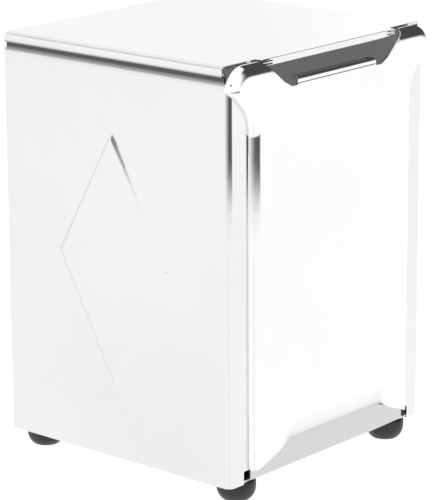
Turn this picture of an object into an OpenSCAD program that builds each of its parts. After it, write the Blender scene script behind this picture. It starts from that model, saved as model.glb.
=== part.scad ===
// Table-top napkin dispenser in stainless sheet.
// A hooked face plate swings out for loading, and a sprung follower pushes the napkins forward.
// +Z is up, the face plate looks along -Y, and the origin is on the table under the middle.

/* [Case] */
// Width of the case across its two sides
case_w = 102.5; // [98:0.5:112]
// Depth of the case from its front flanges to its back
case_d = 100; // [96:1:120]
// Height of the case from its bottom edge to the top of the lid
case_h = 139.5; // [130:0.5:160]
// Thickness of the stainless sheet
sheet = 0.8; // [0.6:0.1:0.9]
// Outside radius of the upright corner bends
corner_r = 2.4; // [2:0.1:3]
// Width of each front flange from the side of the case to its free edge
flange_w = 10; // [9:0.5:11]
// Height of the napkin floor above the bottom edge of the case
floor_h = 10; // [9.8:0.1:12]

/* [Lid] */
// Depth of the lid's skirt at the sides and back
lid_skirt = 3.8; // [3.2:0.1:5]
// Open groove between the skirt and the shoulder of the shell
lid_groove = 1.4; // [0.6:0.1:2]
// Radius of the bead rolled along the front edge of the lid
bead_r = 1.2; // [1:0.1:1.4]
// Distance from the middle to each end of the bead
bead_half = 32; // [25:0.5:32]

/* [Side diamonds] */
// Width of the diamond pressed into each side
diamond_w = 49; // [30:1:70]
// Height of the diamond pressed into each side
diamond_h = 88.4; // [50:0.2:100]
// How far the diamond stands out of the side
diamond_out = 1; // [0.5:0.1:1.4]
// Width of the sloping edge of the diamond
diamond_slope = 1.5; // [1:0.1:3]

/* [Face plate] */
// Gap from the front of the case to the front of the face plate
face_out = 3; // [2.5:0.1:4]
// Width of the face plate between its ears
face_w = 84; // [80:1:84]
// Outside radius of the upright bends along the face plate
face_bend = 4.1; // [3:0.1:5]
// How far the ears stand past the sides of the case
ear_out = 1; // [1:0.1:1.4]
// Outside radius of the ears where they curl back over their seats and round the sides
curl_r = 4.1; // [4.1:0.1:4.3]
// Outside radius of the outer corner of each ear, seen from the front
ear_corner_r = 8; // [7:0.1:9]
// How far round the ears curl at the top, in degrees
curl_angle = 80; // [60:1:80]

/* [Follower] */
// Width of the follower plate
follower_w = 88; // [84:1:92]
// Height of the follower plate above the napkin floor
follower_h = 112; // [90:1:118]
// Travel of the follower from empty to full
travel = 60; // [40:1:60]
// Radius of the two guide rods
rod_r = 1.5; // [1.25:0.05:1.6]
// Distance of each guide rod from the middle
rod_x = 22; // [20:1:26]

/* [Springs] */
// Radius from a rod's axis to the middle of the spring wire
coil_r = 2.4; // [2.2:0.1:2.5]
// Radius of the spring wire
wire_r = 0.3; // [0.25:0.01:0.32]
// Number of turns in each spring
turns = 17; // [12:1:17]

/* [Feet] */
// Height of the rubber feet
foot_h = 7; // [6:0.5:9]
// Radius of a foot where it meets the case
foot_r = 6.6; // [6.2:0.1:7]
// Radius of the flat that a foot stands on
foot_rest_r = 4.4; // [4:0.1:4.6]
// Distance from the side of the case to a foot's centre
foot_in_x = 10.9; // [9:0.1:11]
// Distance from the front or back of the case to a foot's centre
foot_in_y = 6.6; // [6.5:0.1:7]

/* [Hidden] */
$fn = 48;

steel = [0.86, 0.87, 0.88];
dull_steel = [0.72, 0.73, 0.75];
rubber = [0.07, 0.07, 0.07];
acetal = [0.9, 0.9, 0.86];

// Gap between welded sheets, and between moving pieces
weld_gap = 0.05;
move_gap = 0.3;
// Cutters run this far past what they cut
over = 1;

// The case sits so that the footprint, face plate included, is centred on the origin
front_y = face_out - (case_d + face_out) / 2;
back_y = front_y + case_d;
mid_y = (front_y + back_y) / 2;
face_y = front_y - face_out;
side_x = case_w / 2;
base_z = foot_h;
top_z = base_z + case_h;
shoulder_z = top_z - lid_skirt - lid_groove;
rim_top_z = top_z - corner_r;
floor_z = base_z + floor_h;
// Pieces welded inside the shell stand this far in from its outside
inner_set = sheet + weld_gap;

// Axis that the face plate swings about, in the middle of the curled ears and their seats
ear_half = side_x + ear_out;
ear_top_z = top_z - 0.1;
hook_y = face_y + curl_r;
hook_z = ear_top_z - curl_r;
seat_r = curl_r - sheet - move_gap;
seat_x = side_x - flange_w;
seat_len = 3;
// Middle of the round outer corner of each ear
corner_x = ear_half - ear_corner_r;
corner_z = ear_top_z - ear_corner_r;

// Guide rods, slide block and springs lie between the base pan and the napkin floor
rod_z = base_z + 5.4;
rod_end = 2;
bracket_t = 1.2;
bracket_foot = 6;
bracket_h = 8.2;
bracket_half_w = 35;
front_bracket_y = front_y + 5;
rear_bracket_y = back_y - 8;
block_y = front_y + 10;
block_len = 10;
block_half_w = 28;
boss_x = 12;
boss_w = 5;
buffer_r = 3;
clip_r = 2.8;
clip_t = 0.6;
follower_y = front_y + sheet + move_gap;
follower_z = floor_z + sheet;

// Rivets hold the two brackets to the base pan
rivet_r = 1.2;
rivet_head_r = 1.8;
rivet_head_h = 0.8;
rivet_places = [for (x = [-30.4, 30.4], y = [front_bracket_y, rear_bracket_y]) [x, y + 3.8]];

// M2.5 screws hold the follower to its slide block
small_screw_r = 1.25;
small_head_r = 2.3;
small_head_h = 1.6;
small_screw_len = 8;

// M3 screws with washers and nuts hold the feet
screw_r = 1.5;
screw_hole_r = 1.7;
head_r = 2.8;
head_h = 1.8;
washer_r = 3.1;
washer_t = 0.6;
nut_r = 3.15;
nut_h = 2.4;
recess_r = 3.2;
recess_h = 3.4;
foot_x = side_x - foot_in_x;
foot_places = [for (x = [-foot_x, foot_x], y = [front_y + foot_in_y, back_y - foot_in_y]) [x, y]];

// ---- Shared shapes ----

// Rectangle centred on the origin with four round corners
module rounded_rect(w, d, r) {
    square([w - 2 * r, d], center = true);
    square([w, d - 2 * r], center = true);
    for (x = [-1, 1], y = [-1, 1])
        translate([x * (w / 2 - r), y * (d / 2 - r)]) circle(r);
}

// Rectangle from the origin whose corner at the origin is round
module one_round(w, h, r) {
    intersection() {
        square([w, h]);
        union() {
            translate([r, 0]) square([w, h]);
            translate([0, r]) square([w, h]);
            translate([r, r]) circle(r);
        }
    }
}

// L section of folded sheet, with its bend at the origin
module fold(w, h, t, r) {
    difference() {
        one_round(w, h, r);
        translate([t, t]) one_round(w, h, r - t);
    }
}

// Turns a section drawn in Y and Z into a strip that runs along X, centred on the middle
module along_x(length) {
    rotate([90, 0, 90]) linear_extrude(length, center = true) children();
}

// Ring round a guide rod, lying along Y from its front end
module rod_ring(x, y, r, length) {
    translate([x, y, rod_z]) rotate([-90, 0, 0]) difference() {
        cylinder(r = r, h = length);
        translate([0, 0, -over]) cylinder(r = rod_r + weld_gap / 2, h = length + 2 * over);
    }
}

// Mirrors its children so that they stand on both sides
module both_sides() {
    for (m = [0, 1]) mirror([m, 0, 0]) children();
}

// ---- Case ----

// Section of the folded shell seen from above, this far inside the outline of the case
module wrap_section(inset, thickness) {
    w = case_w - 2 * inset;
    d = case_d - 2 * inset;
    r = corner_r - inset / 2;
    translate([0, mid_y]) difference() {
        rounded_rect(w, d, r);
        rounded_rect(w - 2 * thickness, d - 2 * thickness, r - sheet);
        translate([0, -d / 2]) square([case_w - 2 * flange_w, 6 * sheet], center = true);
    }
}

// Corners of a diamond this wide and high, standing in Y and Z at this X
function diamond_corners(x, w, h) = [[x, 0, -h / 2], [x, w / 2, 0], [x, 0, h / 2], [x, -w / 2, 0]];

// Diamonds on both sides, tapered outwards as the press leaves them, this far into the side
module side_diamonds(depth) {
    diamond_z = base_z + 68.6;
    slope = 2 * diamond_slope;
    points = concat(
        diamond_corners(-depth - over / 10, diamond_w, diamond_h),
        diamond_corners(diamond_out - depth, diamond_w - slope, diamond_h - slope)
    );
    faces = [[0, 1, 2, 3], [7, 6, 5, 4], [0, 4, 5, 1], [1, 5, 6, 2], [2, 6, 7, 3], [3, 7, 4, 0]];
    both_sides() translate([side_x, mid_y, diamond_z]) polyhedron(points, faces);
}

module body_shell() {
    notch_w = 3;
    notch_h = 4.5;
    seat_foot_z = hook_z - seat_r + sheet / 2;
    color(steel) difference() {
        union() {
            translate([0, 0, base_z]) linear_extrude(shoulder_z - base_z) wrap_section(0, sheet);
            // Shoulder and rim set inwards so that the lid's skirt lies flush over them
            translate([0, 0, shoulder_z - sheet]) {
                linear_extrude(sheet) wrap_section(0, inner_set + sheet);
                linear_extrude(rim_top_z - shoulder_z + sheet) wrap_section(inner_set, sheet);
            }
            side_diamonds(0);
        }
        side_diamonds(sheet);
        // The rim stops short of the ears, and the flanges stop under their seats
        translate([-side_x, front_y - over, shoulder_z - move_gap])
            cube([case_w, over + 2.5, 2 * lid_skirt]);
        translate([-seat_x - seat_len, front_y - over, seat_foot_z])
            cube([2 * (seat_x + seat_len), over + 4, 2 * lid_skirt]);
        // Corner reliefs at the foot of both front flanges
        both_sides() translate([side_x - flange_w - over, front_y - over, base_z - over])
            cube([notch_w + over, sheet + 2 * over, notch_h + over]);
    }
    // Rolled seats at the top of the flanges, which the ears hang on
    color(steel) both_sides() translate([seat_x, hook_y, hook_z]) rotate([0, 90, 0]) difference() {
        cylinder(r = seat_r, h = seat_len);
        translate([0, 0, -over]) cylinder(r = seat_r - sheet, h = seat_len + 2 * over);
    }
}

// Block under the top of the lid with rounded upper edges and upright corners
module lid_block(inset, depth) {
    w = case_w - 2 * inset;
    d = case_d - 2 * inset;
    r = corner_r - inset;
    translate([0, mid_y, top_z - inset]) intersection() {
        linear_extrude(2 * depth, center = true) rounded_rect(w, d, r);
        along_x(w) translate([0, -depth]) rounded_rect(d, 2 * depth, r);
        rotate([90, 0, 0]) linear_extrude(d, center = true)
            translate([0, -depth]) rounded_rect(w, 2 * depth, r);
    }
}

module lid() {
    depth = 10;
    color(steel) {
        difference() {
            lid_block(0, depth);
            lid_block(sheet, 2 * depth);
            translate([-case_w, front_y - over, top_z - 4 * depth])
                cube([2 * case_w, 2 * case_d, 4 * depth - lid_skirt]);
            // The front skirt gives way to the bead
            translate([-bead_half, front_y - over, top_z - 4 * depth])
                cube([2 * bead_half, 2 * over, 4 * depth - bead_r]);
            // The corners are cut back so that the ears can turn
            both_sides() translate([bead_half, front_y - over, top_z - depth]) {
                cube([side_x - sheet - bead_half, over + 3.5, 2 * depth]);
                cube([side_x, over + 2.1, 2 * depth]);
            }
        }
        translate([0, front_y + bead_r, top_z - bead_r]) rotate([0, 90, 0])
            cylinder(r = bead_r, h = 2 * bead_half, center = true);
    }
}

module base_pan() {
    flange_h = floor_h - sheet;
    lip_w = case_w - 2 * flange_w - 2 * move_gap;
    w = case_w - 2 * inner_set;
    d = case_d - 2 * inner_set;
    r = corner_r - sheet;
    relief = 8;
    color(steel) difference() {
        union() {
            difference() {
                translate([0, mid_y, base_z]) linear_extrude(flange_h) rounded_rect(w, d, r);
                translate([0, mid_y, base_z + sheet])
                    linear_extrude(flange_h) rounded_rect(w - 2 * sheet, d - 2 * sheet, r - sheet / 2);
                // Only the lip stands up along the front
                translate([-case_w, front_y - over, base_z + sheet])
                    cube([2 * case_w, relief + over, flange_h]);
                // Reliefs between the rear flange and the side flanges
                both_sides() translate([w / 2, back_y, base_z + sheet + flange_h / 2])
                    cube([relief, relief, flange_h], center = true);
            }
            translate([0, front_y, base_z]) along_x(lip_w) fold(6, floor_h, sheet, sheet * 1.5);
        }
        for (p = foot_places) translate([p[0], p[1], base_z - over])
            cylinder(r = screw_hole_r, h = sheet + 2 * over);
        for (p = rivet_places) translate([p[0], p[1], base_z - over])
            cylinder(r = rivet_r + weld_gap, h = sheet + 2 * over);
    }
}

module napkin_floor() {
    slot_w = boss_w + 2 * move_gap;
    slot_len = block_len + travel + 2 * move_gap;
    color(steel) translate([0, 0, floor_z - sheet]) difference() {
        intersection() {
            linear_extrude(sheet) translate([0, mid_y])
                rounded_rect(case_w - 2 * inner_set, case_d - 2 * inner_set, corner_r - sheet);
            translate([-case_w, front_y + sheet + weld_gap, -over])
                cube([2 * case_w, case_d, sheet + 2 * over]);
        }
        // Slots that the slide block's bosses run in
        for (x = [-boss_x, boss_x]) translate([x - slot_w / 2, block_y - move_gap, -over])
            cube([slot_w, slot_len, sheet + 2 * over]);
    }
}

// ---- Face plate ----

// Corners of the flat sheet in X and Z on one side, from the bottom round to the top
cut_top_z = base_z + 132.3;
cut_bend = 1;
cut_foot_z = base_z + 129.7;
cut_half = 20.5;
cut_bottom_z = base_z + 11;
face_half = face_w / 2;
face_flat = face_half - face_bend;
ear_flat = ear_half - curl_r;
ear_inner = 32;
face_side = [
    [25.5, cut_bottom_z], [29, base_z + 8.6], [face_half, base_z + 4.5],
    [face_half + 2.5, base_z + 6], [face_half + 2, base_z + 12], [face_half, base_z + 18],
    [face_flat, base_z + 22], [face_flat, base_z + 118],
    [face_half, base_z + 120], [face_half + 1.2, base_z + 122.5], [face_half + 3.6, base_z + 125],
    [ear_flat, base_z + 126.5], [ear_flat, corner_z], [corner_x, corner_z],
    [corner_x, hook_z], [ear_inner, hook_z], [27, base_z + 131.6], [cut_half + 2, cut_foot_z]
];

module face_outline() {
    both_sides() {
        polygon(face_side);
        translate([corner_x, corner_z]) circle(ear_corner_r - curl_r);
    }
    polygon([
        [-25.5, cut_bottom_z], [25.5, cut_bottom_z], [cut_half + 2, cut_foot_z],
        [cut_half, cut_foot_z], [cut_half, cut_top_z - cut_bend],
        [-cut_half, cut_top_z - cut_bend], [-cut_half, cut_foot_z], [-cut_half - 2, cut_foot_z]
    ]);
}

// Section of sheet curled about the origin, from straight ahead up through this angle
module curl_section(angle) {
    far = 3 * curl_r;
    intersection() {
        difference() {
            circle(curl_r);
            circle(curl_r - sheet);
        }
        polygon([[0, 0], [-far, 0], [-far, far], [-far * cos(angle), far * sin(angle)]]);
    }
}

// Part of an ear that curls back over its seat
module ear_top() {
    inner = ear_inner + 2;
    translate([inner, hook_y, hook_z]) rotate([90, 0, 90])
        linear_extrude(corner_x - inner) curl_section(curl_angle);
}

// Part of an ear that curls back round the side of the case
module ear_side() {
    low_z = base_z + 126;
    intersection() {
        translate([ear_flat, hook_y, low_z]) linear_extrude(corner_z - low_z)
            rotate(180) curl_section(90);
        translate([0, hook_y, 0]) rotate([90, 0, 0]) linear_extrude(2 * curl_r) polygon([
            [ear_flat - over, low_z], [ear_half + over, low_z + 5],
            [ear_half + over, top_z], [ear_flat - over, top_z]
        ]);
    }
}

// Drawn corner that joins the two, curled along the round outline of the ear
module ear_corner() {
    path_r = ear_corner_r - curl_r;
    translate([corner_x, hook_y, corner_z]) rotate([90, 0, 0]) rotate_extrude(angle = 90) intersection() {
        translate([path_r, 0]) difference() {
            circle(curl_r);
            circle(curl_r - sheet);
        }
        translate([path_r, 0]) square(curl_r);
    }
}

module face_plate() {
    cut_return = 3;
    bend_z = base_z + 18;
    bend_len = 102;
    far = 2 * case_w;
    color(steel) {
        // Flat sheet
        translate([0, face_y + sheet, 0]) rotate([90, 0, 0]) linear_extrude(sheet) face_outline();
        both_sides() {
            ear_top();
            ear_side();
            ear_corner();
        }
        // Upright bends along both sides
        translate([0, face_y, bend_z]) linear_extrude(bend_len) difference() {
            translate([0, 20]) rounded_rect(face_w, 40, face_bend);
            translate([0, 20 + sheet]) rounded_rect(face_w - 2 * sheet, 40, face_bend - sheet);
            translate([-far / 2, face_out - move_gap]) square(far);
        }
        // Return along the upper cut-out, where a finger reaches in
        translate([0, face_y, cut_top_z]) along_x(2 * cut_half)
            mirror([0, 1]) fold(cut_return, 2 * cut_bend, sheet, cut_bend);
    }
}

// ---- Follower ----

module follower_plate() {
    foot_half_w = 30;
    foot_len = 22;
    foot_rise = 12;
    wing = 5;
    bend = 2 * sheet;
    top_r = 6;
    color(steel) translate([0, follower_y, follower_z]) difference() {
        union() {
            along_x(2 * foot_half_w) fold(foot_len, foot_rise, sheet, bend);
            intersection() {
                translate([0, 20, bend]) linear_extrude(follower_h - bend) difference() {
                    rounded_rect(follower_w, 40, bend);
                    rounded_rect(follower_w - 2 * sheet, 40 - 2 * sheet, bend - sheet);
                    translate([-case_w, wing - 20]) square(2 * case_w);
                }
                rotate([90, 0, 0]) linear_extrude(2 * wing, center = true)
                    translate([0, follower_h / 2]) rounded_rect(follower_w, follower_h, top_r);
            }
        }
        for (x = [-boss_x, boss_x])
            translate([x, block_y + block_len / 2 - follower_y, -over])
                cylinder(r = small_screw_r + weld_gap, h = sheet + 2 * over);
    }
}

module slide_block() {
    bottom = 2.3;
    top = floor_h - sheet - move_gap;
    boss_h = follower_z - base_z - bottom;
    color(acetal) translate([0, block_y, base_z + bottom]) difference() {
        union() {
            translate([-block_half_w, 0, 0]) cube([2 * block_half_w, block_len, top - bottom]);
            for (x = [-boss_x, boss_x]) translate([x - boss_w / 2, 0, 0])
                cube([boss_w, block_len, boss_h]);
        }
        for (x = [-rod_x, rod_x])
            translate([x, -over, rod_z - base_z - bottom]) rotate([-90, 0, 0])
                cylinder(r = rod_r + weld_gap, h = block_len + 2 * over);
        for (x = [-boss_x, boss_x])
            translate([x, block_len / 2, boss_h - small_screw_len + sheet - over])
                cylinder(r = small_screw_r + weld_gap, h = small_screw_len + over);
    }
}

module follower_screws() {
    color(dull_steel) for (x = [-boss_x, boss_x])
        translate([x, block_y + block_len / 2, follower_z + sheet]) {
            cylinder(r = small_head_r, h = small_head_h);
            translate([0, 0, -small_screw_len]) cylinder(r = small_screw_r, h = small_screw_len + over);
        }
}

// ---- Guide rods and what holds them ----

module guide_rod(x) {
    start = front_bracket_y - rod_end;
    length = rear_bracket_y + bracket_t + rod_end - start;
    color(dull_steel) translate([x, start, rod_z]) rotate([-90, 0, 0]) cylinder(r = rod_r, h = length);
}

module guide_rod_left() {
    guide_rod(-rod_x);
}

module guide_rod_right() {
    guide_rod(rod_x);
}

module rod_bracket(y) {
    color(dull_steel) difference() {
        translate([0, y, base_z + sheet]) along_x(2 * bracket_half_w)
            fold(bracket_foot, bracket_h, bracket_t, bracket_t * 1.5);
        for (x = [-rod_x, rod_x]) translate([x, y - over, rod_z]) rotate([-90, 0, 0])
            cylinder(r = rod_r + weld_gap / 2, h = bracket_t + 2 * over);
        for (p = rivet_places) translate([p[0], p[1], base_z])
            cylinder(r = rivet_r + weld_gap, h = sheet + bracket_t + over);
    }
}

module rod_bracket_front() {
    rod_bracket(front_bracket_y);
}

module rod_bracket_rear() {
    rod_bracket(rear_bracket_y);
}

module rod_clips() {
    color(dull_steel) for (x = [-rod_x, rod_x]) {
        rod_ring(x, front_bracket_y - clip_t, clip_r, clip_t);
        rod_ring(x, rear_bracket_y + bracket_t, clip_r, clip_t);
    }
}

module bracket_rivets() {
    top = sheet + bracket_t;
    color(dull_steel) for (p = rivet_places) translate([p[0], p[1], base_z]) {
        translate([0, 0, -rivet_head_h]) cylinder(r = rivet_head_r, h = rivet_head_h);
        cylinder(r = rivet_r, h = top);
        translate([0, 0, top]) cylinder(r = rivet_head_r, h = rivet_head_h);
    }
}

// Rubber ring that the slide block comes to rest on
module stop_buffer(x) {
    start = front_bracket_y + bracket_t;
    color(rubber) rod_ring(x, start, buffer_r, block_y - move_gap - start);
}

module stop_buffer_left() {
    stop_buffer(-rod_x);
}

module stop_buffer_right() {
    stop_buffer(rod_x);
}

// ---- Springs ----

spring_start = block_y + block_len + move_gap;
spring_len = rear_bracket_y - weld_gap - spring_start;
steps = 12;
wire_sides = 6;
end_pitch = 2.4 * wire_r;
mid_pitch = (spring_len - 2 * wire_r - 2 * end_pitch) / (turns - 2);

// Distance along the spring after u turns, with one close turn at each end
function coil_y(u) =
    u < 1 ? wire_r + u * end_pitch
    : u > turns - 1 ? spring_len - wire_r - (turns - u) * end_pitch
    : wire_r + end_pitch + (u - 1) * mid_pitch;

// One corner of the wire's section, at turn u and at angle b round the wire
function coil_point(u, b) = [
    (coil_r + wire_r * cos(b)) * cos(360 * u),
    coil_y(u) + wire_r * sin(b),
    (coil_r + wire_r * cos(b)) * sin(360 * u)
];

module spring(x) {
    last = turns * steps;
    corner = 360 / wire_sides;
    points = [for (i = [0:last], j = [0:wire_sides - 1]) coil_point(i / steps, j * corner)];
    faces = concat(
        [[for (j = [0:wire_sides - 1]) j]],
        [for (i = [0:last - 1], j = [0:wire_sides - 1]) let (k = (j + 1) % wire_sides)
            [i * wire_sides + j, (i + 1) * wire_sides + j, (i + 1) * wire_sides + k]],
        [for (i = [0:last - 1], j = [0:wire_sides - 1]) let (k = (j + 1) % wire_sides)
            [i * wire_sides + j, (i + 1) * wire_sides + k, i * wire_sides + k]],
        [[for (j = [wire_sides - 1:-1:0]) last * wire_sides + j]]
    );
    color(dull_steel) translate([x, spring_start, rod_z]) polyhedron(points, faces);
}

module spring_left() {
    spring(-rod_x);
}

module spring_right() {
    spring(rod_x);
}

// ---- Feet ----

module foot(place) {
    round_r = 5;
    centre_r = foot_r - round_r;
    centre_z = sqrt(round_r * round_r - pow(foot_rest_r - centre_r, 2));
    color(rubber) translate([place[0], place[1], 0]) difference() {
        rotate_extrude() intersection() {
            square([foot_r, foot_h]);
            union() {
                square([centre_r, foot_h]);
                translate([centre_r, centre_z]) circle(round_r);
                translate([0, centre_z]) square([foot_r, foot_h - centre_z]);
            }
        }
        translate([0, 0, -over]) cylinder(r = recess_r, h = recess_h + over);
        cylinder(r = screw_hole_r, h = foot_h + over);
    }
}

module foot_front_left() {
    foot(foot_places[0]);
}

module foot_rear_left() {
    foot(foot_places[1]);
}

module foot_front_right() {
    foot(foot_places[2]);
}

module foot_rear_right() {
    foot(foot_places[3]);
}

module foot_washers() {
    color(dull_steel) for (p = foot_places) translate([p[0], p[1], recess_h - washer_t]) difference() {
        cylinder(r = washer_r, h = washer_t);
        translate([0, 0, -over]) cylinder(r = screw_hole_r, h = washer_t + 2 * over);
    }
}

module foot_screws() {
    seat_z = recess_h - washer_t;
    screw_top = base_z + sheet + nut_h + washer_t;
    color(dull_steel) for (p = foot_places) translate([p[0], p[1], 0]) {
        translate([0, 0, seat_z - head_h]) cylinder(r = head_r, h = head_h);
        translate([0, 0, seat_z]) cylinder(r = screw_r, h = screw_top - seat_z);
    }
}

module foot_nuts() {
    color(dull_steel) for (p = foot_places) translate([p[0], p[1], base_z + sheet]) difference() {
        cylinder(r = nut_r, h = nut_h, $fn = 6);
        translate([0, 0, -over]) cylinder(r = screw_r + weld_gap / 2, h = nut_h + 2 * over);
    }
}

body_shell();
lid();
base_pan();
napkin_floor();
face_plate();
follower_plate();
slide_block();
follower_screws();
guide_rod_left();
guide_rod_right();
rod_bracket_front();
rod_bracket_rear();
rod_clips();
bracket_rivets();
stop_buffer_left();
stop_buffer_right();
spring_left();
spring_right();
foot_front_left();
foot_front_right();
foot_rear_left();
foot_rear_right();
foot_washers();
foot_screws();
foot_nuts();
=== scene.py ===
"""Looks of a polished stainless napkin dispenser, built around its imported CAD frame."""

import math

import bpy
from mathutils import Matrix, Vector, geometry


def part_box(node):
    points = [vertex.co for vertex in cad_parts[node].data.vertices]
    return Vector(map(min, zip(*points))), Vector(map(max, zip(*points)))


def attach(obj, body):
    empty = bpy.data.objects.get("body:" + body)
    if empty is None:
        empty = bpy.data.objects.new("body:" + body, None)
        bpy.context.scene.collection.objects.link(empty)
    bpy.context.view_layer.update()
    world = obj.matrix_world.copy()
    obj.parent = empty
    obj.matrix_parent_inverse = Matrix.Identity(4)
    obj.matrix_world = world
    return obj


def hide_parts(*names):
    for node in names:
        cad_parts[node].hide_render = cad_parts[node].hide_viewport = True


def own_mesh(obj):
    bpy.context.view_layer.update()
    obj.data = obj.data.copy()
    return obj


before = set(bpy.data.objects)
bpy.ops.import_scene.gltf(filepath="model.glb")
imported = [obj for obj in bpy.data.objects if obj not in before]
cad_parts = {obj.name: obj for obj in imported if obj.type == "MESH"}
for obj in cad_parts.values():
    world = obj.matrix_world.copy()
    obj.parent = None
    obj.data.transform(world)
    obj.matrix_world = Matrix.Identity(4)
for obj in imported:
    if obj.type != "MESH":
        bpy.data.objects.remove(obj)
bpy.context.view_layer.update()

MM = 0.001


def span(node):
    """Lowest and highest corner of a CAD node, as two vectors."""
    low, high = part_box(node)
    return Vector(low), Vector(high)


# ---------------------------------------------------------------- sizes, from the frame
BASE_Z = span("base_pan")[0].z
LID_LOW, LID_HIGH = span("lid")
FACE_LOW, FACE_HIGH = span("face_plate")
SHEET = 0.8 * MM
SIDE_X = LID_HIGH.x
FRONT_Y = LID_LOW.y
BACK_Y = LID_HIGH.y
MID_Y = (FRONT_Y + BACK_Y) / 2
TOP_Z = LID_HIGH.z
SKIRT_Z = LID_LOW.z
SHOULDER_Z = SKIRT_Z - 1.4 * MM
CORNER_R = 2.4 * MM
FACE_Y = FACE_LOW.y
BEAD_R = 1.2 * MM
CURL_R = 4.1 * MM
EAR_HALF = FACE_HIGH.x
HOOK_Y = FACE_Y + CURL_R
HOOK_Z = FACE_HIGH.z - CURL_R
RIM_INSET = SHEET + 0.05 * MM
SEAT_R = CURL_R - SHEET - 0.3 * MM
SEAT_LENGTH = 3 * MM
FLANGE_W = 10 * MM
SEAT_X = SIDE_X - FLANGE_W
CUT_BOTTOM_Z = BASE_Z + 11 * MM
LOWER_SHADE_HALF = 24 * MM
# diamond pressed into each side: half-width, half-height, how far out, width of its slope, height of
# its middle, and how far its sides are from its middle
DIAMOND_W = 24.5 * MM
DIAMOND_H = 44.2 * MM
DIAMOND_OUT = 0.95 * MM
DIAMOND_SLOPE = 1.5 * MM
DIAMOND_Z = BASE_Z + 68.6 * MM
DIAMOND_REACH = DIAMOND_W * DIAMOND_H / math.hypot(DIAMOND_W, DIAMOND_H)


# ---------------------------------------------------------------- mesh tools
def add_object(name, mesh):
    piece = bpy.data.objects.new(name, mesh)
    bpy.context.scene.collection.objects.link(piece)
    for polygon in mesh.polygons:
        polygon.use_smooth = True
    return piece


def soften(piece, width=0.15 * MM, angle=50):
    """Rounds the sharp edges and keeps the flats flat in reflections."""
    bevel = piece.modifiers.new("edges", "BEVEL")
    bevel.width = width
    bevel.segments = 2
    bevel.limit_method = "ANGLE"
    bevel.angle_limit = math.radians(angle)
    bevel.harden_normals = False
    weighted = piece.modifiers.new("normals", "WEIGHTED_NORMAL")
    weighted.weight = 80
    weighted.keep_sharp = True
    return piece


def fillet(corners, steps=6):
    """Closed outline through (x, y, radius) corners, with an arc of that radius at each."""
    outline = []
    count = len(corners)
    for i, (x, y, radius) in enumerate(corners):
        here = Vector((x, y))
        to_last = Vector(corners[i - 1][:2]) - here
        to_next = Vector(corners[(i + 1) % count][:2]) - here
        if radius <= 0:
            outline.append(here)
            continue
        angle = to_last.angle(to_next)
        reach = min(radius / math.tan(angle / 2), 0.49 * to_last.length, 0.49 * to_next.length)
        start = here + to_last.normalized() * reach
        end = here + to_next.normalized() * reach
        for k in range(steps + 1):
            t = k / steps
            outline.append((1 - t) ** 2 * start + 2 * t * (1 - t) * here + t * t * end)
    return outline


def divide(a, b, step):
    """Values from a to b, no further apart than step."""
    count = max(1, math.ceil(abs(b - a) / step - 1e-6))
    return [a + (b - a) * k / count for k in range(count + 1)]


def inside(point, outline):
    """Whether a flat point lies inside a closed outline."""
    hit = False
    for i, a in enumerate(outline):
        b = outline[i - 1]
        if (a.y > point.y) != (b.y > point.y):
            if point.x < (b.x - a.x) * (point.y - a.y) / (b.y - a.y) + a.x:
                hit = not hit
    return hit


def gap_to(point, outline):
    """Distance from a flat point to a closed outline."""
    best = 1e9
    for i, a in enumerate(outline):
        b = outline[i - 1]
        near, t = geometry.intersect_point_line(point, a, b)
        t = min(1.0, max(0.0, t))
        best = min(best, (point - a.lerp(b, t)).length)
    return best


def formed_sheet(name, outline, place, points=(), loops=(), margin=0.25 * MM, outward=1):
    """Sheet metal: a flat outline with inner points, put in place by place(u, v), with real thickness.

    Inner points closer than margin to the outline, or to one of the loops, are dropped. The skin
    placed is the outer one where u across v points outwards, or, with outward=-1, where it points
    inwards."""
    flat = list(outline)
    edges = []
    for loop in loops:
        start = len(flat)
        flat += loop
        edges += [(start + k, start + (k + 1) % len(loop)) for k in range(len(loop))]
    for p in points:
        if inside(p, outline) and gap_to(p, outline) > margin:
            if all(gap_to(p, loop) > margin for loop in loops):
                flat.append(p)
    face = [list(range(len(outline)))]
    verts, _, tris, _, _, _ = geometry.delaunay_2d_cdt(flat, edges, face, 1, 1e-9)

    def normal(u, v):
        h = 0.02 * MM
        across = place(u + h, v) - place(u - h, v)
        along = place(u, v + h) - place(u, v - h)
        return across.cross(along).normalized() * outward

    outer = [place(v.x, v.y) for v in verts]
    inner = [p - normal(v.x, v.y) * SHEET for p, v in zip(outer, verts)]
    count = len(verts)
    faces = [list(t)[::outward] for t in tris]
    used = {}
    for t in faces:
        for k in range(len(t)):
            used[(t[k], t[(k + 1) % len(t)])] = True
    back = [[i + count for i in reversed(t)] for t in faces]
    rim = [[b, a, a + count, b + count] for a, b in used if (b, a) not in used]
    mesh = bpy.data.meshes.new(name)
    mesh.from_pydata(outer + inner, [], faces + back + rim)
    mesh.update()
    piece = soften(add_object(name, mesh))
    for polygon in mesh.polygons[len(faces):len(faces) + len(back)]:
        polygon.material_index = 1
    return piece


def loft(name, rings):
    """Skin over rings of points that all have the same count, closed by a face at each end."""
    size = len(rings[0])
    verts = [p for ring in rings for p in ring]
    faces = []
    for i in range(len(rings) - 1):
        for j in range(size):
            k = (j + 1) % size
            a, b = i * size, (i + 1) * size
            faces.append([a + j, a + k, b + k, b + j])
    faces.append(list(range(size))[::-1])
    last = (len(rings) - 1) * size
    faces.append(list(range(last, last + size)))
    mesh = bpy.data.meshes.new(name)
    mesh.from_pydata(verts, [], faces)
    mesh.update()
    return add_object(name, mesh)


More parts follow.
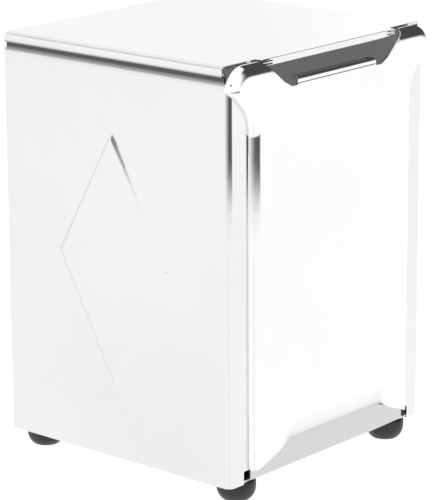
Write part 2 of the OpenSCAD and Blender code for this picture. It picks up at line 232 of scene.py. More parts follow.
def lathe(name, profile, centre, steps=64):
    """Turns a closed (radius, height) profile about the upright axis through centre."""
    size = len(profile)
    verts, faces = [], []
    for i in range(steps):
        a = 2 * math.pi * i / steps
        for r, z in profile:
            verts.append(Vector((centre[0] + r * math.cos(a), centre[1] + r * math.sin(a), z)))
    for i in range(steps):
        a, b = i * size, (i + 1) % steps * size
        for j in range(size):
            k = (j + 1) % size
            faces.append([a + j, b + j, b + k, a + k])
    mesh = bpy.data.meshes.new(name)
    mesh.from_pydata(verts, [], faces)
    mesh.update()
    return add_object(name, mesh)


def smooth_step(low, high, x):
    """0 below low and 1 above high, with a smooth rise between."""
    t = min(1.0, max(0.0, (x - low) / (high - low)))
    return t * t * (3 - 2 * t)


# ---------------------------------------------------------------- materials
def new_material(name):
    material = bpy.data.materials.new(name)
    material.use_nodes = True
    nodes = material.node_tree.nodes
    return material, nodes, material.node_tree.links, nodes["Principled BSDF"]


def set_input(node, name, value):
    node.inputs[name].default_value = value


def noise_node(nodes, links, scale, detail=3.0, stretch=(1, 1, 1)):
    """Noise in the object's own space, stretched along an axis when asked."""
    place = nodes.new("ShaderNodeTexCoord")
    mapping = nodes.new("ShaderNodeMapping")
    set_input(mapping, "Scale", stretch)
    texture = nodes.new("ShaderNodeTexNoise")
    set_input(texture, "Scale", scale)
    set_input(texture, "Detail", detail)
    links.new(place.outputs["Object"], mapping.inputs["Vector"])
    links.new(mapping.outputs["Vector"], texture.inputs["Vector"])
    return texture


def ramp(nodes, links, source, stops):
    """Colour ramp with (position, colour) stops."""
    node = nodes.new("ShaderNodeValToRGB")
    elements = node.color_ramp.elements
    while len(elements) < len(stops):
        elements.new(0.5)
    for element, (position, colour) in zip(elements, stops):
        element.position = position
        element.color = colour if len(colour) == 4 else (*colour, 1)
    links.new(source, node.inputs["Fac"])
    return node


def grey(value):
    return (value, value, value)


def metal(name, tone, rough, wave=0.0, grain=0.02, stretch=(1, 1, 30), metallic=1.0):
    """Metal with fine grain, faint smudges in its gloss and, with a wave, slow bends in its mirroring."""
    material, nodes, links, shader = new_material(name)
    set_input(shader, "Metallic", metallic)
    smudge = noise_node(nodes, links, 38, 5)
    low, high = rough
    gloss = ramp(nodes, links, smudge.outputs["Fac"], [(0.3, grey(low)), (0.72, grey(high))])
    links.new(gloss.outputs["Color"], shader.inputs["Roughness"])
    tint = noise_node(nodes, links, 14, 3)
    dark = tuple(c * 0.965 for c in tone)
    colour = ramp(nodes, links, tint.outputs["Fac"], [(0.35, dark), (0.65, tone)])
    links.new(colour.outputs["Color"], shader.inputs["Base Color"])
    lines = noise_node(nodes, links, 900, 2, stretch)
    fine = nodes.new("ShaderNodeBump")
    set_input(fine, "Strength", grain)
    set_input(fine, "Distance", 0.00004)
    links.new(lines.outputs["Fac"], fine.inputs["Height"])
    last = fine
    if wave:
        slow = noise_node(nodes, links, 22, 1)
        bulge = nodes.new("ShaderNodeBump")
        set_input(bulge, "Strength", wave)
        set_input(bulge, "Distance", 0.0006)
        links.new(slow.outputs["Fac"], bulge.inputs["Height"])
        links.new(fine.outputs["Normal"], bulge.inputs["Normal"])
        last = bulge
    links.new(last.outputs["Normal"], shader.inputs["Normal"])
    return material


def shade_by_height(material, heights, half_width=None):
    """Paints shade into the metal's colour by (height, share) stations, only near the middle if a
    half-width is given.
    """
    nodes, links = material.node_tree.nodes, material.node_tree.links
    shader = nodes["Principled BSDF"]
    colour = shader.inputs["Base Color"].links[0].from_socket
    place = nodes.new("ShaderNodeTexCoord")
    parts = nodes.new("ShaderNodeSeparateXYZ")
    links.new(place.outputs["Object"], parts.inputs["Vector"])
    low, high = heights[0][0], heights[-1][0]
    scale = nodes.new("ShaderNodeMapRange")
    set_input(scale, "From Min", low)
    set_input(scale, "From Max", high)
    links.new(parts.outputs["Z"], scale.inputs["Value"])
    stops = [((z - low) / (high - low), grey(share)) for z, share in heights]
    shade = ramp(nodes, links, scale.outputs["Result"], stops)
    mix = nodes.new("ShaderNodeMix")
    mix.data_type = "RGBA"
    mix.blend_type = "MULTIPLY"
    set_input(mix, "Factor", 1)
    if half_width:
        size = nodes.new("ShaderNodeMath")
        size.operation = "ABSOLUTE"
        links.new(parts.outputs["X"], size.inputs[0])
        fade = nodes.new("ShaderNodeMapRange")
        set_input(fade, "From Min", half_width)
        set_input(fade, "From Max", half_width + 3 * MM)
        set_input(fade, "To Min", 1)
        set_input(fade, "To Max", 0)
        links.new(size.outputs[0], fade.inputs["Value"])
        links.new(fade.outputs["Result"], mix.inputs["Factor"])
    links.new(colour, mix.inputs[6])
    links.new(shade.outputs["Color"], mix.inputs[7])
    links.new(mix.outputs[2], shader.inputs["Base Color"])


def rubber_material():
    """Moulded rubber: near black, with a fine satin skin and a little dust mottled over it."""
    material, nodes, links, shader = new_material("moulded_rubber")
    mottle = noise_node(nodes, links, 260, 4)
    colour = ramp(nodes, links, mottle.outputs["Fac"], [(0.3, grey(0.006)), (0.75, grey(0.02))])
    links.new(colour.outputs["Color"], shader.inputs["Base Color"])
    gloss = ramp(nodes, links, mottle.outputs["Fac"], [(0.3, grey(0.38)), (0.7, grey(0.55))])
    links.new(gloss.outputs["Color"], shader.inputs["Roughness"])
    skin = noise_node(nodes, links, 2600, 3)
    bump = nodes.new("ShaderNodeBump")
    set_input(bump, "Strength", 0.25)
    set_input(bump, "Distance", 0.00008)
    links.new(skin.outputs["Fac"], bump.inputs["Height"])
    links.new(bump.outputs["Normal"], shader.inputs["Normal"])
    set_input(shader, "Specular IOR Level", 0.45)
    return material


def acetal_material():
    """Moulded acetal: slightly waxy off-white with a faint satin texture."""
    material, nodes, links, shader = new_material("acetal")
    mottle = noise_node(nodes, links, 120, 3)
    stops = [(0.3, (0.8, 0.79, 0.74)), (0.7, (0.87, 0.86, 0.82))]
    colour = ramp(nodes, links, mottle.outputs["Fac"], stops)
    links.new(colour.outputs["Color"], shader.inputs["Base Color"])
    skin = noise_node(nodes, links, 1500, 2)
    bump = nodes.new("ShaderNodeBump")
    set_input(bump, "Strength", 0.12)
    set_input(bump, "Distance", 0.00005)
    links.new(skin.outputs["Fac"], bump.inputs["Height"])
    links.new(bump.outputs["Normal"], shader.inputs["Normal"])
    gloss = ramp(nodes, links, mottle.outputs["Fac"], [(0.3, grey(0.34)), (0.7, grey(0.44))])
    links.new(gloss.outputs["Color"], shader.inputs["Roughness"])
    return material


def inside_material():
    """Unpolished inner side of the sheet, with a faint painted glow, an emission that stands in for the
    light inside the case; without it the window turns black.
    """
    material = metal("unpolished_inside_painted_glow", grey(0.62), (0.4, 0.55), grain=0.2, metallic=0.35)
    nodes, links = material.node_tree.nodes, material.node_tree.links
    shader = nodes["Principled BSDF"]
    cloud = noise_node(nodes, links, 9, 2)
    painted_glow = ramp(nodes, links, cloud.outputs["Fac"], [(0.3, grey(0.92)), (0.7, grey(1.0))])
    links.new(painted_glow.outputs["Color"], shader.inputs["Emission Color"])
    set_input(shader, "Emission Strength", 0.075)
    return material


MATERIALS = {
    "polished_sheet": metal("polished_stainless", grey(0.72), (0.025, 0.05), wave=0.03),
    "inside": inside_material(),
    "plate": metal("polished_face_plate", grey(0.79), (0.025, 0.05), wave=0.03),
    # the pan is the shell's polished stainless with a darker colour, as painted shade for its lip
    # recessed under the face plate
    "pan": metal("polished_pan_painted_shade", grey(0.55), (0.03, 0.06), wave=0.03),
    "inner_sheet": metal("mill_stainless", (0.78, 0.78, 0.785), (0.3, 0.42), grain=0.2, metallic=0.8),
    "ground_rod": metal("ground_rod", (0.72, 0.72, 0.73), (0.14, 0.24), stretch=(1, 30, 1)),
    "spring_steel": metal("spring_wire", (0.5, 0.5, 0.51), (0.2, 0.32)),
    "plated_hardware": metal("zinc_plate", (0.74, 0.74, 0.72), (0.2, 0.36), grain=0.08),
    "acetal": acetal_material(),
    "rubber": rubber_material(),
}


# two shades matched to the photo, which the light alone does not give: the dark one in the groove
# under the lid, and the grey one along the lower edge of the face plate
shade_by_height(MATERIALS["polished_sheet"], [
    (SHOULDER_Z - 2.2 * MM, 1), (SHOULDER_Z - 1.1 * MM, 0.9), (SHOULDER_Z + 0.3 * MM, 0.12),
    (SKIRT_Z + 0.1 * MM, 0.12), (SKIRT_Z + 1.1 * MM, 1)])
shade_by_height(MATERIALS["plate"], [
    (CUT_BOTTOM_Z - 0.1 * MM, 0.62), (CUT_BOTTOM_Z + 0.5 * MM, 0.68), (CUT_BOTTOM_Z + 1.3 * MM, 0.87),
    (CUT_BOTTOM_Z + 3 * MM, 0.94), (CUT_BOTTOM_Z + 6.5 * MM, 1)], LOWER_SHADE_HALF)


def finish_piece(piece, body, node_names, slot, look=None):
    """Gives a new piece its material, picked by its slot or look, puts it on its body, and hides the CAD
    nodes that it stands for.
    """
    piece.data.materials.append(MATERIALS[look or slot])
    if any(polygon.material_index for polygon in piece.data.polygons):
        piece.data.materials.append(MATERIALS["inside"])
    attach(piece, body)
    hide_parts(*node_names)
    return piece


# ---------------------------------------------------------------- shell
def rounded_path(half_x, y_front, y_back, radius, flange):
    """Pieces of the shell's plan: from one front flange round the back to the other.

    Each is (length, function of distance giving x, y, and the outward normal)."""
    quarter = math.pi * radius / 2
    depth = y_back - y_front - 2 * radius
    front = flange - radius
    width = 2 * (half_x - radius)

    def straight(x, y, dx, dy):
        return lambda s: (x + dx * s, y + dy * s, -dy, dx)

    def bend(cx, cy, start):
        def at(s):
            a = start - s / radius
            return cx + radius * math.cos(a), cy + radius * math.sin(a), math.cos(a), math.sin(a)
        return at

    left, right = -half_x + radius, half_x - radius
    near, far = y_front + radius, y_back - radius
    return [
        (front, straight(-half_x + flange, y_front, -1, 0)),
        (quarter, bend(left, near, -math.pi / 2)),
        (depth, straight(-half_x, near, 0, 1)),
        (quarter, bend(left, far, math.pi)),
        (width, straight(left, y_back, 1, 0)),
        (quarter, bend(right, far, math.pi / 2)),
        (depth, straight(half_x, far, 0, -1)),
        (quarter, bend(right, near, 0)),
        (front, straight(right, y_front, -1, 0)),
    ]


def walk(path, u):
    """Point and outward normal at distance u along a path."""
    for length, at in path[:-1]:
        if u <= length:
            return at(u)
        u -= length
    return path[-1][1](u)


def diamond_height(dy, dz):
    """How far the pressed diamond stands out at this offset from its middle."""
    inward = DIAMOND_REACH * (1 - abs(dy) / DIAMOND_W - abs(dz) / DIAMOND_H)
    t = min(1.0, max(0.0, inward / DIAMOND_SLOPE))
    rounding = 0.1
    if t < rounding:
        return DIAMOND_OUT * t * t / (2 * rounding * (1 - rounding))
    if t > 1 - rounding:
        return DIAMOND_OUT * (1 - (1 - t) ** 2 / (2 * rounding * (1 - rounding)))
    return DIAMOND_OUT * (t - rounding / 2) / (1 - rounding)


def make_shell():
    path = rounded_path(SIDE_X, FRONT_Y, BACK_Y, CORNER_R, FLANGE_W)
    lengths = [length for length, _ in path]
    total = sum(lengths)
    starts = [sum(lengths[:k]) for k in range(len(lengths) + 1)]
    rim_top = TOP_Z - CORNER_R
    front_top = SHOULDER_Z - 0.3 * MM
    seat_foot = HOOK_Z - SEAT_R + SHEET / 2
    side_middles = [starts[2] + lengths[2] / 2, starts[6] + lengths[6] / 2]

    def place(u, v):
        x, y, nx, ny = walk(path, u)
        out = -RIM_INSET * smooth_step(SHOULDER_Z - 1.1 * MM, SHOULDER_Z + 0.1 * MM, v)
        for middle in side_middles:
            if abs(u - middle) < DIAMOND_W + 1.5 * MM:
                out += diamond_height(u - middle, v - DIAMOND_Z)
        return Vector((x + nx * out, y + ny * out, v))

    notch_u, notch_z, relief_r = 3 * MM, BASE_Z + 4.5 * MM, 0.6 * MM
    step_u = 3 * MM
    rim_u = starts[2] + 0.2 * MM
    outline = fillet([
        (0, notch_z, relief_r), (notch_u, notch_z, relief_r), (notch_u, BASE_Z, 0.3 * MM),
        (total - notch_u, BASE_Z, 0.3 * MM), (total - notch_u, notch_z, relief_r),
        (total, notch_z, relief_r), (total, seat_foot, relief_r),
        (total - step_u, seat_foot, relief_r), (total - step_u, front_top, relief_r),
        (total - rim_u, front_top, relief_r), (total - rim_u, rim_top, relief_r),
        (rim_u, rim_top, relief_r), (rim_u, front_top, relief_r),
        (step_u, front_top, relief_r), (step_u, seat_foot, relief_r), (0, seat_foot, relief_r),
    ])
    us = []
    for k, length in enumerate(lengths):
        step = length / 12 if k % 2 else 6 * MM
        us += divide(starts[k], starts[k + 1], step)
    for k in range(1, len(starts) - 1):
        away = 0.4 * MM if k % 2 else -0.4 * MM
        us.append(starts[k] - away)
    us = sorted(set(round(u, 7) for u in us))
    vs = divide(BASE_Z, SHOULDER_Z - 1.8 * MM, 8 * MM)
    vs += divide(SHOULDER_Z - 1.3 * MM, SHOULDER_Z + 0.4 * MM, 0.13 * MM)
    vs += divide(SHOULDER_Z + 0.8 * MM, rim_top, 1.2 * MM)
    loops = []
    for middle in side_middles:
        for inward in (-0.35, 0, 0.05, 0.1, 0.5, 0.9, 0.95, 1, 1.35):
            share = 1 - inward * DIAMOND_SLOPE / DIAMOND_REACH
            w, h = DIAMOND_W * share, DIAMOND_H * share
            corners = [(middle, DIAMOND_Z - h), (middle + w, DIAMOND_Z),
                       (middle, DIAMOND_Z + h), (middle - w, DIAMOND_Z)]
            corners = [Vector(c) for c in corners]
            steps = (0, 0.014) + tuple(k / 8 for k in range(1, 8)) + (0.986,)
            loops.append([c.lerp(corners[(i + 1) % 4], t)
                          for i, c in enumerate(corners) for t in steps])
    points = [Vector((u, v)) for u in us for v in vs]
    edge_us = [u for u in us if 0 < u < total]
    outline = insert_crossings(outline, edge_us, vs)
    piece = formed_sheet("shell", outline, place, points, loops, margin=0.12 * MM, outward=-1)
    return finish_piece(piece, "case", ["body_shell"], "polished_sheet")


def make_seat(name, x):
    """Rolled seat at the top of a front flange, which an ear hangs on."""
    rings = []
    section = [(SEAT_R, 0), (SEAT_R, SEAT_LENGTH), (SEAT_R - SHEET, SEAT_LENGTH), (SEAT_R - SHEET, 0)]
    steps = 48
    for k in range(steps + 1):
        turn = math.radians(-90 + 350 * k / steps)
        rings.append([Vector((x + dx, HOOK_Y - r * math.cos(turn), HOOK_Z + r * math.sin(turn)))
                      for r, dx in section])
    piece = soften(loft(name, rings))
    return finish_piece(piece, "case", ["body_shell"], "polished_sheet", look="plate")


def insert_crossings(outline, us, vs):
    """Adds a corner wherever a straight run of the outline crosses one of the grid's lines."""
    result = []
    for i, here in enumerate(outline):
        after = outline[(i + 1) % len(outline)]
        run = after - here
        cuts = []
        if abs(run.x) > 1e-9:
            cuts += [(u - here.x) / run.x for u in us]
        if abs(run.y) > 1e-9:
            cuts += [(v - here.y) / run.y for v in vs]
        result.append(here)
        last = 0.0
        for t in sorted(cuts):
            if last + 1e-3 < t < 1 - 1e-3:
                result.append(here + run * t)
                last = t
    return result


# ---------------------------------------------------------------- lid
def turned_outline(corners, spacing):
    """Closed outline with true arcs through (x, y, radius, kind) corners, as (point, normal, kind).

    The corners run anticlockwise, and each one's kind is that of the edge that leaves it."""
    stations = []
    count = len(corners)
    arcs = []
    for i, (x, y, radius, _) in enumerate(corners):
        here = Vector((x, y))
        before = (here - Vector(corners[i - 1][:2])).normalized()
        after = (Vector(corners[(i + 1) % count][:2]) - here).normalized()
        turn = math.atan2(before.x * after.y - before.y * after.x, before.dot(after))
        reach = radius * math.tan(abs(turn) / 2)
        arcs.append((here - before * reach, here + after * reach, before, turn))
    for i, (start, end, before, turn) in enumerate(arcs):
        radius, kind = corners[i][2:]
        last_kind = corners[i - 1][3]
        out = Vector((before.y, -before.x))
        side = 1 if turn > 0 else -1
        centre = start - out * radius * side
        steps = max(1, round(abs(turn) / math.radians(10))) if radius > 0 else 1
        for k in range(steps + 1):
            n = Matrix.Rotation(turn * k / steps, 2) @ out
            stations.append((centre + n * radius * side, n, last_kind if k == 0 else kind))
        following = arcs[(i + 1) % count][0]
        n = Matrix.Rotation(turn, 2) @ out
        flats = max(1, math.ceil((following - end).length / spacing))
        stations += [(end.lerp(following, k / flats), n, kind) for k in range(1, flats)]
    return stations


def quarter(cx, cy, radius, start, steps, turn=90):
    """Points of an arc in (inset, depth), from this angle in degrees."""
    angles = [math.radians(start + turn * k / steps) for k in range(steps + 1)]
    return [(cx + radius * math.cos(a), cy + radius * math.sin(a)) for a in angles]


def edge_section(top_r, depth, low_r, low_inner_r, thick, inner_r):
    """Edge of the lid in (inset from the outline, depth below the top), from the top skin round to the
    underside: rounded over at the top, down to depth, round its foot, and back up inside."""
    section = quarter(top_r, top_r, top_r, 270, 10, -90)
    section += [(0, top_r + (depth - low_r - top_r) * k / 4) for k in (1, 2, 3)]
    section += quarter(low_r, depth - low_r, low_r, 180, 6, -90)
    section += quarter(thick - low_inner_r, depth - low_inner_r, low_inner_r, 90, 4, -90)
    rise = depth - low_inner_r - SHEET - inner_r
    section += [(thick, depth - low_inner_r - rise * k / 4) for k in (1, 2, 3)]
    section += quarter(thick + inner_r, SHEET + inner_r, inner_r, 180, 10, 90)
    return section


def make_lid():
    """Top, rounded edge and skirt, with a hem along the front and corners cut back for the ears."""
    low = TOP_Z - SKIRT_Z
    hem_half = 34.6 * MM
    cut_y = FRONT_Y + 2.5 * MM
    skirt = edge_section(2.0 * MM, low, 0.65 * MM, 0.1 * MM, SHEET, 1.2 * MM)
    hem = edge_section(0.15 * MM, 2 * BEAD_R, 0.3 * MM, 0.3 * MM, 2.2 * MM, 0.15 * MM)
    cut = quarter(0.15 * MM, 0.15 * MM, 0.15 * MM, 270, 10, -90)
    cut += [(0, (0.15 + 0.5 * k / 4) * MM) for k in (1, 2, 3)]
    left = len(skirt) - len(cut)
    cut += [((0.05 + 0.9 * k / left) * MM, SHEET) for k in range(1, left + 1)]
    sections = {"skirt": skirt, "hem": hem, "cut": cut}
    outline = turned_outline([
        (-hem_half, FRONT_Y, 0, "hem"), (hem_half, FRONT_Y, 0, "cut"),
        (hem_half, cut_y, 0.6 * MM, "cut"), (SIDE_X, cut_y, 0.5 * MM, "skirt"),
        (SIDE_X, BACK_Y, CORNER_R, "skirt"), (-SIDE_X, BACK_Y, CORNER_R, "skirt"),
        (-SIDE_X, cut_y, 0.5 * MM, "cut"), (-hem_half, cut_y, 0.6 * MM, "cut"),
    ], 6 * MM)
    rings = []
    for i in range(len(skirt)):
        ring = []
        for point, n, kind in outline:
            inset, down = sections[kind][i]
            ring.append(Vector((point.x - n.x * inset, point.y - n.y * inset, TOP_Z - down)))
        rings.append(ring)
    piece = loft("lid_cap", rings)
    under_z = TOP_Z - SHEET
    for polygon in piece.data.polygons:
        if abs(polygon.center.z - under_z) < 0.01 * MM and polygon.normal.z < -0.9:
            polygon.material_index = 1
    weighted = piece.modifiers.new("normals", "WEIGHTED_NORMAL")
    weighted.weight = 80
    return finish_piece(piece, "case", ["lid"], "polished_sheet")


# ---------------------------------------------------------------- face plate
CUT_TOP_Z = BASE_Z + 132.3 * MM
CUT_STEP_Z = BASE_Z + 129.9 * MM
CUT_STEP = 0.1 * MM
CUT_BEND = 1 * MM
CUT_RETURN = 3 * MM
CUT_HALF = 20.5 * MM
EAR_CORNER_R = 8 * MM
CURL_FROM_X = 24 * MM
CORNER_X = EAR_HALF - EAR_CORNER_R
CORNER_Z = HOOK_Z + CURL_R - EAR_CORNER_R
# how far the plate's outer edge is from the middle, at heights above the case's bottom edge, in mm
EDGE_RUN = [(0, 41.9), (117, 41.9), (120, 42.2), (122.5, 43.2),
            (125, 45.3), (128, 48.2), (130.5, 50.8), (132.4, 52.2), (150, 52.2)]
# how far round the edge is bent, in degrees, at the same kind of heights
TURN_RUN = [(0, 74), (118, 74), (131, 88), (150, 88)]


def along(run, height):
    """Value of a run of (height, value) stations at this height."""
    for (a, p), (b, q) in zip(run, run[1:]):
        if height <= b:
            return p + (q - p) * (height - a) / (b - a)
    return run[-1][1]


def smooth_along(run, height, spread=1.0, samples=7):
    """The run's value averaged over a short height, which rounds its corners."""
    steps = [height + spread * (2 * k / (samples - 1) - 1) for k in range(samples)]
    return sum(along(run, h) for h in steps) / samples


def make_face_plate():
    """Flat sheet with bent sides, ears curled round their drawn corners, and a return over the window."""
    bend_end = CUT_BEND * math.pi / 2
    path_r = EAR_CORNER_R - CURL_R

    def edge(z):
        """Half-width where the side's bend starts, and how far round it goes in radians."""
        height = (z - BASE_Z) / MM
        turn = math.radians(smooth_along(TURN_RUN, height))
        outer = smooth_along(EDGE_RUN, height) * MM
        return outer - CURL_R * math.sin(turn), turn

    def place(u, v):
        side = -1 if u < 0 else 1
        x, y, z = abs(u), FACE_Y, v
        if v > CORNER_Z:
            dx, dz = max(0.0, x - CORNER_X), v - CORNER_Z
            far = math.hypot(dx, dz)
            if far > path_r and x > CURL_FROM_X:
                turn = (far - path_r) / CURL_R
                near = (path_r + CURL_R * math.sin(turn)) / far
                x, z = min(x, CORNER_X) + dx * near, CORNER_Z + dz * near
                y += CURL_R * (1 - math.cos(turn))
        else:
            flat, _ = edge(v)
            if x > flat:
                turn = (x - flat) / CURL_R
                x = flat + CURL_R * math.sin(turn)
                y += CURL_R * (1 - math.cos(turn))
        if v > CUT_STEP_Z and abs(u) < CUT_HALF + 1 * MM:
            y += CUT_STEP * smooth_step(CUT_STEP_Z, CUT_STEP_Z + 0.6 * MM, v)
            rise = v - CUT_TOP_Z + CUT_BEND
            if rise > 0:
                turn = min(rise, bend_end) / CUT_BEND
                y += CUT_BEND * (1 - math.cos(turn)) + max(0.0, rise - bend_end)
                z = CUT_TOP_Z - CUT_BEND + CUT_BEND * math.sin(turn)
        return Vector((side * x, y, z))

    def side_point(height):
        """Where the sheet ends at the side, in the flat pattern."""
        z = BASE_Z + height * MM
        flat, turn = edge(z)
        return (flat + CURL_R * turn, z, 0)

    right = [(25.5, 11, 0.8), (29, 8.6, 1), (40.5, 4.3, 1.5), (43.25, 4.5, 1)]
    right = [(x * MM, BASE_Z + z * MM, r * MM) for x, z, r in right]
    heights = [7.4, 112.4, 114.4, 116.4, 118.4, 120.4, 122.4, 124.4, 126.4, 127.2]
    right += [side_point(h) for h in heights]
    lip = path_r + CURL_R * math.radians(80)
    right += [(x * MM, BASE_Z + z * MM, r * MM) for x, z, r in [(52.6, 128.6, 1), (54.3, 130.4, 1.5)]]
    for k in range(9):
        a = math.radians(90 * k / 8)
        far = lip + CURL_R * math.radians(8) * (1 - k / 8)
        right.append((CORNER_X + far * math.cos(a), CORNER_Z + far * math.sin(a), 0))
    inner_edge = [(37.2, 141.0, 1.6), (34.6, 137.7, 2), (31.8, 135.2, 2), (27.2, 131.6, 2),
                  (23.4, 129.7, 0.8)]
    right += [(x * MM, z * MM + BASE_Z, r * MM) for x, z, r in inner_edge]
    flange_v = CUT_TOP_Z - CUT_BEND + bend_end + CUT_RETURN - CUT_BEND
    right += [(CUT_HALF, CUT_STEP_Z - 0.2 * MM, 0.3 * MM), (CUT_HALF, flange_v, 0.8 * MM)]
    left = [(-x, z, r) for x, z, r in reversed(right)]
    us = divide(0, 36 * MM, 6 * MM) + divide(36.5 * MM, 56 * MM, 0.4 * MM)
    us += divide(18 * MM, 36 * MM, 1.5 * MM)
    us = sorted(set(round(s * u, 7) for u in us for s in (-1, 1)))
    vs = divide(BASE_Z, BASE_Z + 24 * MM, 1.5 * MM)
    vs += divide(BASE_Z + 24 * MM, BASE_Z + 110 * MM, 6 * MM)
    vs += divide(BASE_Z + 111 * MM, CUT_TOP_Z - CUT_BEND, 1 * MM)
    vs += divide(CUT_STEP_Z, CUT_STEP_Z + 0.6 * MM, 0.1 * MM)
    vs += divide(CUT_TOP_Z - CUT_BEND, CUT_TOP_Z - CUT_BEND + bend_end, 0.2 * MM)
    vs += divide(CUT_TOP_Z + 1 * MM, flange_v, 1 * MM)
    vs += divide(CORNER_Z, HOOK_Z + 8 * MM, 0.4 * MM)
    vs = sorted(set(round(v, 7) for v in vs))
    outline = insert_crossings(fillet(right + left), us, vs)
    points = [Vector((u, v)) for u in us for v in vs]
    piece = formed_sheet("face", outline, place, points, margin=0.12 * MM)
    return finish_piece(piece, "face", ["face_plate"], "polished_sheet", look="plate")


# ---------------------------------------------------------------- feet
def make_foot(node):
    """Moulded rubber foot with a round shoulder, a parting line and a recess for its screw."""
    low, high = span(node)
    centre = ((low.x + high.x) / 2, (low.y + high.y) / 2)
    radius = (high.x - low.x) / 2
    height = high.z
    rest_r, round_r = 4.4 * MM, 5 * MM
    core = radius - round_r
    core_z = math.sqrt(round_r ** 2 - (rest_r - core) ** 2)
    steps = 14
    low_angle = math.asin(-core_z / round_r)
    profile = [(1.7 * MM, height), (radius - 0.5 * MM, height),
               (radius - 0.15 * MM, height - 0.15 * MM),
               (radius, height - 0.5 * MM), (radius, core_z + 0.35 * MM),
               (radius, core_z + 0.2 * MM), (radius - 0.12 * MM, core_z + 0.1 * MM)]
    for k in range(1, steps + 1):
        a = low_angle * k / steps
        profile.append((core + (round_r - 0.06 * MM) * math.cos(a), core_z + round_r * math.sin(a)))
    profile += [(rest_r - 0.3 * MM, 0), (3.45 * MM, 0), (3.25 * MM, 0.15 * MM), (3.2 * MM, 0.4 * MM),
                (3.2 * MM, 3.3 * MM), (3.1 * MM, 3.4 * MM), (1.7 * MM, 3.4 * MM)]
    piece = lathe(node + "_rubber", profile[::-1], centre)
    return finish_piece(piece, "case", [node], "rubber")


FEET = ["foot_front_left", "foot_front_right", "foot_rear_left", "foot_rear_right"]


# ---------------------------------------------------------------- springs
def make_spring(node, steps=28, sides=10):
    """Coil spring with a close, flattened turn at each end."""
    low, high = span(node)
    wire = 0.3 * MM
    coil = (high.x - low.x) / 2 - wire
    centre_x, centre_z = (low.x + high.x) / 2, (low.z + high.z) / 2
    length = high.y - low.y
    turns = 17
    close = 2.4 * wire
    pitch = (length - 2 * wire - 2 * close) / (turns - 2)

    def rise(t):
        if t < 1:
            return wire + t * close
        if t > turns - 1:
            return length - wire - (turns - t) * close
        return wire + close + (t - 1) * pitch

    rings = []
    for i in range(turns * steps + 1):
        t = i / steps
        a = 2 * math.pi * t
        ring = []
        for k in range(sides):
            b = 2 * math.pi * k / sides
            r = coil + wire * math.cos(b)
            ring.append(Vector((centre_x + r * math.cos(a), low.y + rise(t) + wire * math.sin(b),
                                centre_z + r * math.sin(a))))
        rings.append(ring)
    piece = loft(node + "_coil", rings)
    finish_piece(piece, "case", [node], "spring_steel")
    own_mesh(piece)
    return piece


# ---------------------------------------------------------------- CAD nodes kept as they are
def dress(node, slot):
    """A kept CAD node: its own mesh, with softened edges and a finished material."""
    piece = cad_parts[node]
    for material_slot in piece.material_slots:
        material_slot.link = "OBJECT"
        material_slot.material = MATERIALS[slot]
    weld = piece.modifiers.new("weld", "WELD")
    weld.merge_threshold = 1e-6
    soften(piece, 0.12 * MM, 40)


KEPT = {
    "base_pan": "pan", "napkin_floor": "inner_sheet", "follower_plate": "inner_sheet",
    "slide_block": "acetal", "follower_screws": "plated_hardware", "guide_rod_left": "ground_rod",
    "guide_rod_right": "ground_rod", "rod_bracket_front": "inner_sheet",
    "rod_bracket_rear": "inner_sheet", "rod_clips": "spring_steel",
    "bracket_rivets": "plated_hardware", "stop_buffer_left": "rubber", "stop_buffer_right": "rubber",
    "foot_washers": "plated_hardware", "foot_screws": "plated_hardware", "foot_nuts": "plated_hardware",
}

make_shell()
make_seat("seat_left", -SEAT_X - SEAT_LENGTH)
make_seat("seat_right", SEAT_X)
make_lid()
make_face_plate()
for foot in FEET:
    make_foot(foot)
for spring in ("spring_left", "spring_right"):
    make_spring(spring)
for kept, slot_name in KEPT.items():
    dress(kept, slot_name)


# ---------------------------------------------------------------- studio
def make_floor(size, material):
    """Square floor round the origin."""
    half = size / 2
    mesh = bpy.data.meshes.new("floor")
    mesh.from_pydata([(-half, -half, 0), (half, -half, 0), (half, half, 0), (-half, half, 0)], [],
                     [(0, 1, 2, 3)])
    mesh.materials.append(material)
    piece = bpy.data.objects.new("floor", mesh)
    bpy.context.scene.collection.objects.link(piece)
    return piece


def towards(azimuth, elevation):
    """Unit vector from the object towards a viewer at this azimuth and elevation in degrees."""
    a, e = math.radians(azimuth), math.radians(elevation)
    return Vector((math.sin(a) * math.cos(e), -math.cos(a) * math.cos(e), math.sin(e)))


floor_material, _, _, floor_shader = new_material("floor")
set_input(floor_shader, "Base Color", (*grey(0.6), 1))
set_input(floor_shader, "Roughness", 0.9)
set_input(floor_shader, "Specular IOR Level", 0.0)
set_input(floor_shader, "Emission Color", (*grey(1.0), 1))
set_input(floor_shader, "Emission Strength", 0.85)
floor = make_floor(6, floor_material)
floor.visible_glossy = False


ROOM_TONE = 1.27
# (azimuth starts, full from, full to, ends), the same for elevation, and the tone's share there
ZONES = [
    ((-112, -25, 4, 26), (-14.4, -13.75, -9, -3), 0.1),
    ((5, 42, 118, 126), (-7, 8, 50, 62), 0.06),
    ((-80, -74, -62, -56), (17.9, 18.25, 24, 30), 0.25),
    ((-175, -165, -140, -130), (28, 34, 46, 52), 0.7),
    ((-62, -54, -40, -32), (-40, -30, -16, -14.6), 0.93),
    ((-180, -179, -100, -80), (-90, -80, -19, -15), 0.97),
    ((-180, -179, -100, -80), (-14.5, -11, 0, 10), 0.97),
    ((126, 130, 175, 179), (5, 12, 60, 80), 0.9),
    ((100, 120, 178, 180), (-14, -12, 5, 12), 0.86),
]


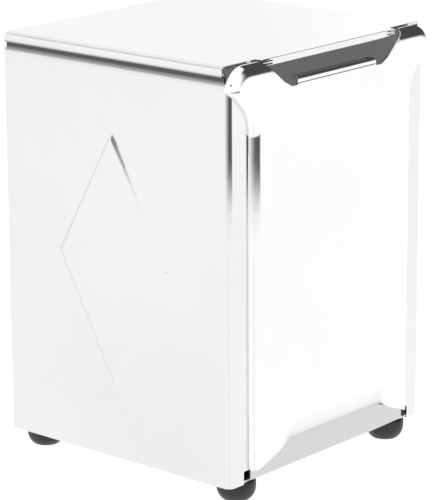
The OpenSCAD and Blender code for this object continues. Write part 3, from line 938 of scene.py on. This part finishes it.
def make_surroundings():
    """A bright room round the object, drawn by direction and tuned to the photo's view.

    The first three zones are dark: a low band in front, a wide one on the right, and a small one
    beside the camera. The other zones are fainter, and the rest of the room is white."""
    world = bpy.data.worlds.new("studio")
    bpy.context.scene.world = world
    world.use_nodes = True
    nodes, links = world.node_tree.nodes, world.node_tree.links
    place = nodes.new("ShaderNodeTexCoord")
    parts = nodes.new("ShaderNodeSeparateXYZ")
    links.new(place.outputs["Generated"], parts.inputs["Vector"])

    def math_node(operation, *values):
        node = nodes.new("ShaderNodeMath")
        node.operation = operation
        for k, value in enumerate(values):
            if isinstance(value, (int, float)):
                node.inputs[k].default_value = value
            else:
                links.new(value, node.inputs[k])
        return node.outputs[0]

    def soft_range(value, low, high):
        """0 below low and 1 above high, or the other way round when low is more than high."""
        node = nodes.new("ShaderNodeMapRange")
        node.interpolation_type = "SMOOTHSTEP"
        set_input(node, "From Min", min(low, high))
        set_input(node, "From Max", max(low, high))
        set_input(node, "To Min", 0.0 if low < high else 1.0)
        set_input(node, "To Max", 1.0 if low < high else 0.0)
        links.new(value, node.inputs["Value"])
        return node.outputs["Result"]

    x, y, z = parts.outputs
    minus_y = math_node("MULTIPLY", y, -1.0)
    azimuth = math_node("MULTIPLY", math_node("ARCTAN2", x, minus_y), 180 / math.pi)
    elevation = math_node("MULTIPLY", math_node("ARCSINE", z), 180 / math.pi)
    tone = math_node("ADD", ROOM_TONE, 0.0)
    for az, el, share in ZONES:
        mask = math_node("MULTIPLY", soft_range(azimuth, az[0], az[1]),
                         soft_range(azimuth, az[3], az[2]))
        mask = math_node("MULTIPLY", mask, soft_range(elevation, el[0], el[1]))
        mask = math_node("MULTIPLY", mask, soft_range(elevation, el[3], el[2]))
        left = math_node("SUBTRACT", 1.0, math_node("MULTIPLY", mask, 1 - share))
        tone = math_node("MULTIPLY", tone, left)
    set_input(nodes["Background"], "Color", (*grey(1.0), 1))
    links.new(tone, nodes["Background"].inputs["Strength"])


make_surroundings()

# ---------------------------------------------------------------- camera
VIEW_AZIMUTH, VIEW_ELEVATION, VIEW_ROLL = -49.346, 15.274, -0.265
VIEW_DISTANCE = 0.925886
FOCAL_PER_HEIGHT = 2698 / 500
AIM_RIGHT, AIM_DOWN = 0.85, 8.05
back = towards(VIEW_AZIMUTH, VIEW_ELEVATION)
a = math.radians(VIEW_AZIMUTH)
across = Vector((math.cos(a), math.sin(a), 0))
upward = back.cross(across)
middle = Vector((0, MID_Y, BASE_Z + (TOP_Z - BASE_Z) / 2))
aim = middle + across * AIM_RIGHT * MM - upward * AIM_DOWN * MM
camera_data = bpy.data.cameras.new("camera")
camera_data.sensor_fit = "VERTICAL"
camera_data.sensor_height = 36
camera_data.lens = FOCAL_PER_HEIGHT * camera_data.sensor_height
camera_data.clip_start = 0.05
camera_data.clip_end = 30
camera = bpy.data.objects.new("camera", camera_data)
bpy.context.scene.collection.objects.link(camera)
frame_axes = Matrix((across, upward, back)).transposed()
roll = Matrix.Rotation(math.radians(VIEW_ROLL), 3, "Z")
camera.matrix_world = Matrix.Translation(aim + back * VIEW_DISTANCE) @ (frame_axes @ roll).to_4x4()
bpy.context.scene.camera = camera
bpy.context.scene.view_settings.view_transform = "Standard"
